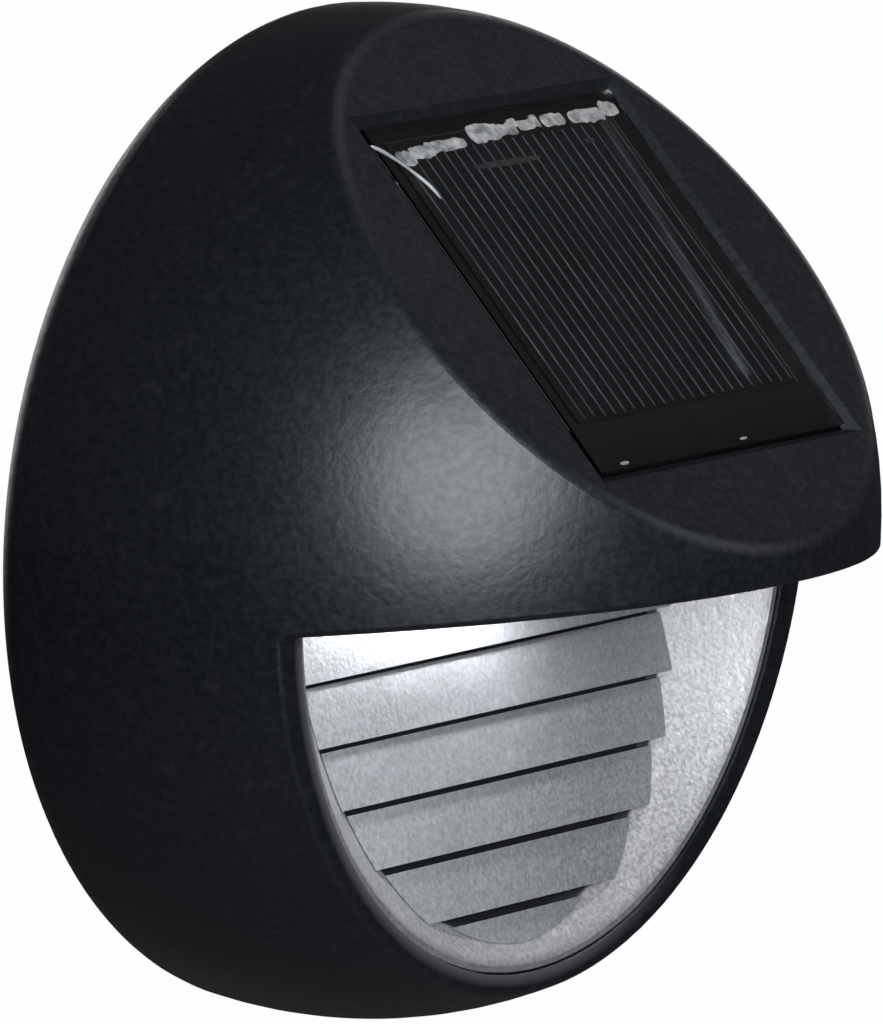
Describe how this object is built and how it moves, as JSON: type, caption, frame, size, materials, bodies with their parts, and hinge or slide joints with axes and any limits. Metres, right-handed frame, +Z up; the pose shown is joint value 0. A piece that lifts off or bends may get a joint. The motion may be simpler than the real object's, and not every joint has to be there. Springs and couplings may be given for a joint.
{
  "type": "solar fence light",
  "caption": "Ball-shaped solar light for a wall or fence board, with a panel on its sloping face and a lit louvre recess under its hood.",
  "frame": {"origin": "on the back face that lies on the wall, behind the centre of the ball-shaped housing", "axes": "+Z is up, +Y points into the wall, so the light faces -Y, and +X is to the right for a person who faces the light"},
  "size_m": [0.12, 0.072, 0.12],
  "materials": {
    "housing_plastic": "fine texture, satin",
    "clear_resin": "clear, gloss",
    "cell_silicon": "near-black blue, gloss",
    "solder_silver": "ragged solder",
    "panel_board_black": "satin",
    "foam_tape": "matt foam",
    "silver_plastic": "silver, finely textured",
    "led_lens": "clear, gloss",
    "circuit_board": "satin solder mask",
    "screw_steel": "plain",
    "wound_coil": "dark sleeve",
    "chip_black": "matt",
    "gasket_rubber": "matt",
    "battery_wrap": "plain wrapper, gloss",
    "contact_steel": "nickel plated",
    "switch_plastic": "satin",
    "lead_red": "satin insulation",
    "lead_black": "satin insulation",
    "lead_yellow": "satin insulation"
  },
  "bodies": {
    "root": {"front_housing": "housing_plastic", "back_cover": "housing_plastic", "panel_resin": "clear_resin", "solar_cell": "cell_silicon", "bus_ribbon": "solder_silver", "panel_board": "panel_board_black", "panel_tape": "foam_tape", "reflector": "silver_plastic", "louvre_panel": "silver_plastic", "led": "led_lens", "main_board": "circuit_board", "board_screws": "screw_steel", "back_screws": "screw_steel", "coil": "wound_coil", "driver_chip": "chip_black", "back_gasket": "gasket_rubber", "battery_cell": "battery_wrap", "positive_contact": "contact_steel", "negative_contact": "contact_steel", "battery_spring": "contact_steel", "switch_body": "switch_plastic", "panel_lead_positive": "lead_red", "battery_lead_positive": "lead_red", "panel_lead_negative": "lead_black", "battery_lead_negative": "lead_black", "switch_lead": "lead_yellow"},
    "battery_door": {"battery_door": "housing_plastic", "door_gasket": "gasket_rubber"},
    "switch_knob": {"switch_knob": "switch_plastic"}
  },
  "joints": [
    {"name": "battery_door_hinge", "type": "hinge", "parent": "root", "child": "battery_door", "pos_m": [0, 0, -0.0041], "axis": [1, 0, 0], "range_deg": [0, 80]},
    {"name": "switch_slide", "type": "slide", "parent": "root", "child": "switch_knob", "axis": [1, 0, 0], "range_m": [0, 0.003]}
  ]
}
